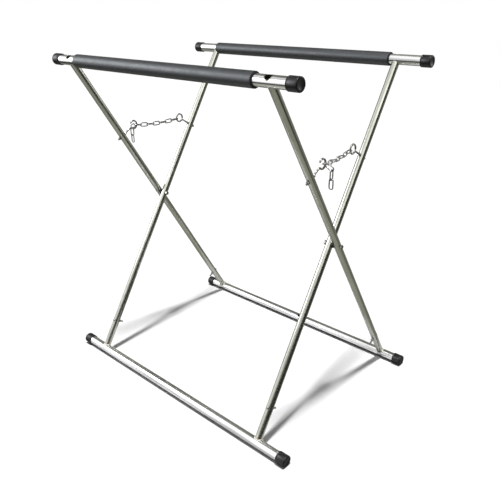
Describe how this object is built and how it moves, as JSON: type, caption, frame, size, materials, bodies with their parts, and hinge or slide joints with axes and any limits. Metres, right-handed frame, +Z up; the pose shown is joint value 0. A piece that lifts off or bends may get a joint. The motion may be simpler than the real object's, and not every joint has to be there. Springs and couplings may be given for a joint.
{
  "type": "folding sawhorse",
  "caption": "folding trestle of crossed tubular steel frames with foam-padded top rails, rubber end caps, pivot bolts and side chains that hook across to limit the spread",
  "frame": {"origin": "on the floor, midway between the four feet, with the stand open", "axes": "+X along the rails, +Y horizontal across the stand towards the inner frame's top rail, +Z up"},
  "size_m": [0.8168, 0.5758, 0.8897],
  "materials": {
    "rail_chrome": "bright plated tube, smooth and shiny",
    "leg_steel": "plated tube with a warm grey sheen and weld heat marks at the feet",
    "fastener_steel": "zinc-plated wire, bolts and nuts",
    "chain_steel": "zinc-plated bent wire links",
    "rubber": "satin black moulded rubber",
    "foam": "matte closed-cell foam, dark blue-grey",
    "spacer": "black washer"
  },
  "bodies": {
    "outer_frame": {"outer_top_rail": "rail_chrome", "outer_bottom_rail": "rail_chrome", "outer_foam_sleeve": "foam", "outer_leg_left": "leg_steel", "outer_leg_right": "leg_steel", "outer_top_cap_left": "rubber", "outer_top_cap_right": "rubber", "outer_bottom_cap_left": "rubber", "outer_bottom_cap_right": "rubber", "pivot_bolt_left": "fastener_steel", "pivot_spacer_left": "spacer", "pivot_nut_left": "fastener_steel", "hook_left": "fastener_steel", "hook_inner_nut_left": "fastener_steel", "hook_outer_nut_left": "fastener_steel", "outer_foot_bolt_left": "fastener_steel", "chain_left_link_8": "chain_steel", "pivot_bolt_right": "fastener_steel", "pivot_spacer_right": "spacer", "pivot_nut_right": "fastener_steel", "hook_right": "fastener_steel", "hook_inner_nut_right": "fastener_steel", "hook_outer_nut_right": "fastener_steel", "outer_foot_bolt_right": "fastener_steel", "chain_right_link_8": "chain_steel"},
    "inner_frame": {"inner_top_rail": "rail_chrome", "inner_bottom_rail": "rail_chrome", "inner_foam_sleeve": "foam", "inner_leg_left": "leg_steel", "inner_leg_right": "leg_steel", "inner_top_cap_left": "rubber", "inner_top_cap_right": "rubber", "inner_bottom_cap_left": "rubber", "inner_bottom_cap_right": "rubber", "eye_left": "fastener_steel", "eye_inner_nut_left": "fastener_steel", "eye_outer_nut_left": "fastener_steel", "inner_foot_bolt_left": "fastener_steel", "eye_right": "fastener_steel", "eye_inner_nut_right": "fastener_steel", "eye_outer_nut_right": "fastener_steel", "inner_foot_bolt_right": "fastener_steel"},
    "chain_left_first": {"chain_left_link_1": "chain_steel"},
    "chain_left_run": {"chain_left_link_2": "chain_steel", "chain_left_link_3": "chain_steel", "chain_left_link_4": "chain_steel", "chain_left_link_5": "chain_steel", "chain_left_link_6": "chain_steel", "chain_left_link_7": "chain_steel"},
    "chain_left_spare": {"chain_left_link_9": "chain_steel", "chain_left_link_10": "chain_steel"},
    "chain_right_first": {"chain_right_link_1": "chain_steel"},
    "chain_right_run": {"chain_right_link_2": "chain_steel", "chain_right_link_3": "chain_steel", "chain_right_link_4": "chain_steel", "chain_right_link_5": "chain_steel", "chain_right_link_6": "chain_steel", "chain_right_link_7": "chain_steel"},
    "chain_right_spare": {"chain_right_link_9": "chain_steel", "chain_right_link_10": "chain_steel"}
  },
  "joints": [
    {"name": "fold", "type": "hinge", "parent": "outer_frame", "child": "inner_frame", "pos_m": [0, 0, 0.45687], "axis": [1, 0, 0], "range_deg": [0, 59]},
    {"name": "chain_left_drop", "type": "hinge", "parent": "inner_frame", "child": "chain_left_first", "pos_m": [-0.3142, 0.07815, 0.67753], "axis": [1, 0, 0], "range_deg": [0, 53.1]},
    {"name": "chain_left_swing", "type": "hinge", "parent": "chain_left_first", "child": "chain_left_run", "pos_m": [-0.31672, 0.05217, 0.67566], "axis": [0.0185, 0.1062, -0.9942], "range_deg": [-44, 0]},
    {"name": "chain_left_spare_swing", "type": "hinge", "parent": "outer_frame", "child": "chain_left_spare", "pos_m": [-0.35682, -0.07079, 0.66413], "axis": [1, 0, 0], "range_deg": [-15, 15]},
    {"name": "chain_right_drop", "type": "hinge", "parent": "inner_frame", "child": "chain_right_first", "pos_m": [0.3142, 0.07815, 0.67753], "axis": [1, 0, 0], "range_deg": [0, 53.1]},
    {"name": "chain_right_swing", "type": "hinge", "parent": "chain_right_first", "child": "chain_right_run", "pos_m": [0.31672, 0.05217, 0.67566], "axis": [0.0185, -0.1062, 0.9942], "range_deg": [-44, 0]},
    {"name": "chain_right_spare_swing", "type": "hinge", "parent": "outer_frame", "child": "chain_right_spare", "pos_m": [0.35682, -0.07079, 0.66413], "axis": [1, 0, 0], "range_deg": [-15, 15]}
  ],
  "couplings": [
    {"joint": "chain_left_drop", "follows": "fold", "ratio": 0.9},
    {"joint": "chain_left_swing", "follows": "fold", "ratio": -0.74576},
    {"joint": "chain_right_drop", "follows": "fold", "ratio": 0.9},
    {"joint": "chain_right_swing", "follows": "fold", "ratio": -0.74576}
  ]
}
